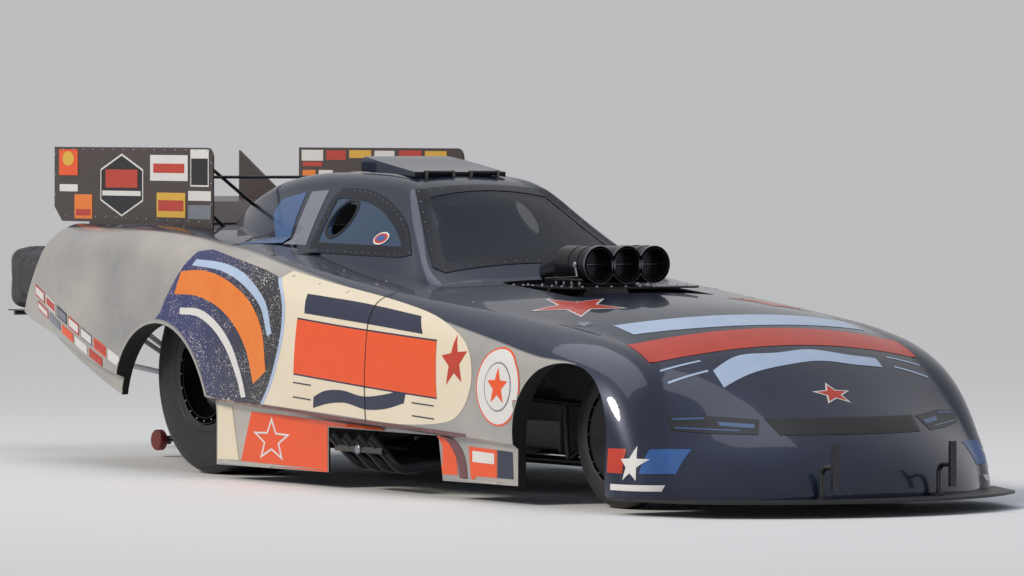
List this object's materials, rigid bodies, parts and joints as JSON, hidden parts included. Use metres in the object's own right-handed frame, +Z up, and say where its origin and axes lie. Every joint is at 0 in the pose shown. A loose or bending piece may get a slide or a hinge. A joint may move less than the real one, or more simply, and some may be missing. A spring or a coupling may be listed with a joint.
{
  "type": "drag racing car",
  "caption": "Nitro drag racing car with a flip-up coupe body over a tube chassis, open injector hat, tall rear spoiler, wide slicks and parachute packs.",
  "frame": {"origin": "on the ground, at the middle of the car's overall length and width", "axes": "+X forward, +Y to the car's left, +Z up"},
  "size_m": [6.6895, 1.9912, 1.49],
  "materials": {
    "paint_navy": "gloss",
    "paint_silver": "gloss metallic",
    "trim_dark": "satin",
    "plate_brown": "satin",
    "window_tint": "gloss",
    "frame_black": "gloss",
    "steel_dark": "satin",
    "engine_metal": "satin",
    "injector_black": "satin",
    "sheet_metal": "brushed",
    "seat_dark": "matte",
    "grip_black": "matte",
    "tyre_black": "matte",
    "rim_black": "satin",
    "pack_black": "matte",
    "tether_silver": "woven foil",
    "wheel_red": "matte"
  },
  "bodies": {
    "body_shell": {"front_clip": "paint_navy", "cabin_shell": "paint_navy", "side_panel_right": "paint_silver", "side_panel_left": "paint_silver", "tail_panel": "trim_dark", "splitter": "trim_dark", "windscreen": "window_tint", "side_windows": "window_tint", "rear_spoiler": "paint_navy", "spoiler_plates": "plate_brown", "centre_fin": "plate_brown", "spoiler_stays": "frame_black", "nose_bars": "frame_black", "body_braces": "frame_black", "hatch_hinge": "steel_dark"},
    "roof_hatch": {"roof_hatch": "paint_navy"},
    "chassis": {"chassis_frame": "frame_black", "roll_cage": "frame_black", "floor_pan": "sheet_metal", "driver_seat": "seat_dark", "engine_block": "engine_metal", "supercharger": "engine_metal", "injector_hat": "injector_black", "injector_plate": "injector_black", "headers_right": "steel_dark", "headers_left": "steel_dark", "fuel_tank": "sheet_metal", "rear_axle_housing": "frame_black", "front_axle": "frame_black", "wheelie_bar": "frame_black", "chute_rack": "frame_black", "chute_pack_right": "pack_black", "chute_pack_left": "pack_black", "chute_tethers": "tether_silver"},
    "steering_wheel": {"steering_wheel": "grip_black"},
    "knuckle_right": {"knuckle_right": "steel_dark"},
    "knuckle_left": {"knuckle_left": "steel_dark"},
    "front_wheel_right": {"front_tyre_right": "tyre_black", "front_rim_right": "rim_black"},
    "front_wheel_left": {"front_tyre_left": "tyre_black", "front_rim_left": "rim_black"},
    "rear_wheels": {"rear_tyres": "tyre_black", "rear_rims": "rim_black", "rear_axle_shaft": "steel_dark"},
    "wheelie_wheels": {"wheelie_wheels": "wheel_red"}
  },
  "joints": [
    {"name": "body_flip", "type": "hinge", "parent": "chassis", "child": "body_shell", "pos_m": [-2.075, 0, 0.54], "axis": [0, -1, 0], "range_deg": [0, 28]},
    {"name": "hatch_open", "type": "hinge", "parent": "body_shell", "child": "roof_hatch", "pos_m": [0.022, 0, 1.384], "axis": [0, 1, 0], "range_deg": [0, 100]},
    {"name": "rear_wheels_spin", "type": "hinge", "parent": "chassis", "child": "rear_wheels", "pos_m": [-0.895, 0, 0.45], "axis": [0, 1, 0], "continuous": true},
    {"name": "steer_right", "type": "hinge", "parent": "chassis", "child": "knuckle_right", "pos_m": [2.28, -0.55, 0.302], "axis": [0, 0, 1], "range_deg": [-16, 16]},
    {"name": "steer_left", "type": "hinge", "parent": "chassis", "child": "knuckle_left", "pos_m": [2.28, 0.55, 0.302], "axis": [0, 0, 1], "range_deg": [-16, 16]},
    {"name": "steering_wheel_turn", "type": "hinge", "parent": "chassis", "child": "steering_wheel", "pos_m": [0.255, 0, 0.5], "axis": [-0.9404, 0, 0.3401], "range_deg": [-128, 128]},
    {"name": "front_wheel_right_spin", "type": "hinge", "parent": "knuckle_right", "child": "front_wheel_right", "pos_m": [2.28, -0.645, 0.302], "axis": [0, 1, 0], "continuous": true},
    {"name": "front_wheel_left_spin", "type": "hinge", "parent": "knuckle_left", "child": "front_wheel_left", "pos_m": [2.28, 0.645, 0.302], "axis": [0, 1, 0], "continuous": true},
    {"name": "wheelie_wheels_spin", "type": "hinge", "parent": "chassis", "child": "wheelie_wheels", "pos_m": [-2.335, 0, 0.08], "axis": [0, 1, 0], "continuous": true}
  ],
  "couplings": [
    {"joint": "steer_left", "follows": "steer_right", "ratio": 1},
    {"joint": "steering_wheel_turn", "follows": "steer_right", "ratio": 8}
  ]
}
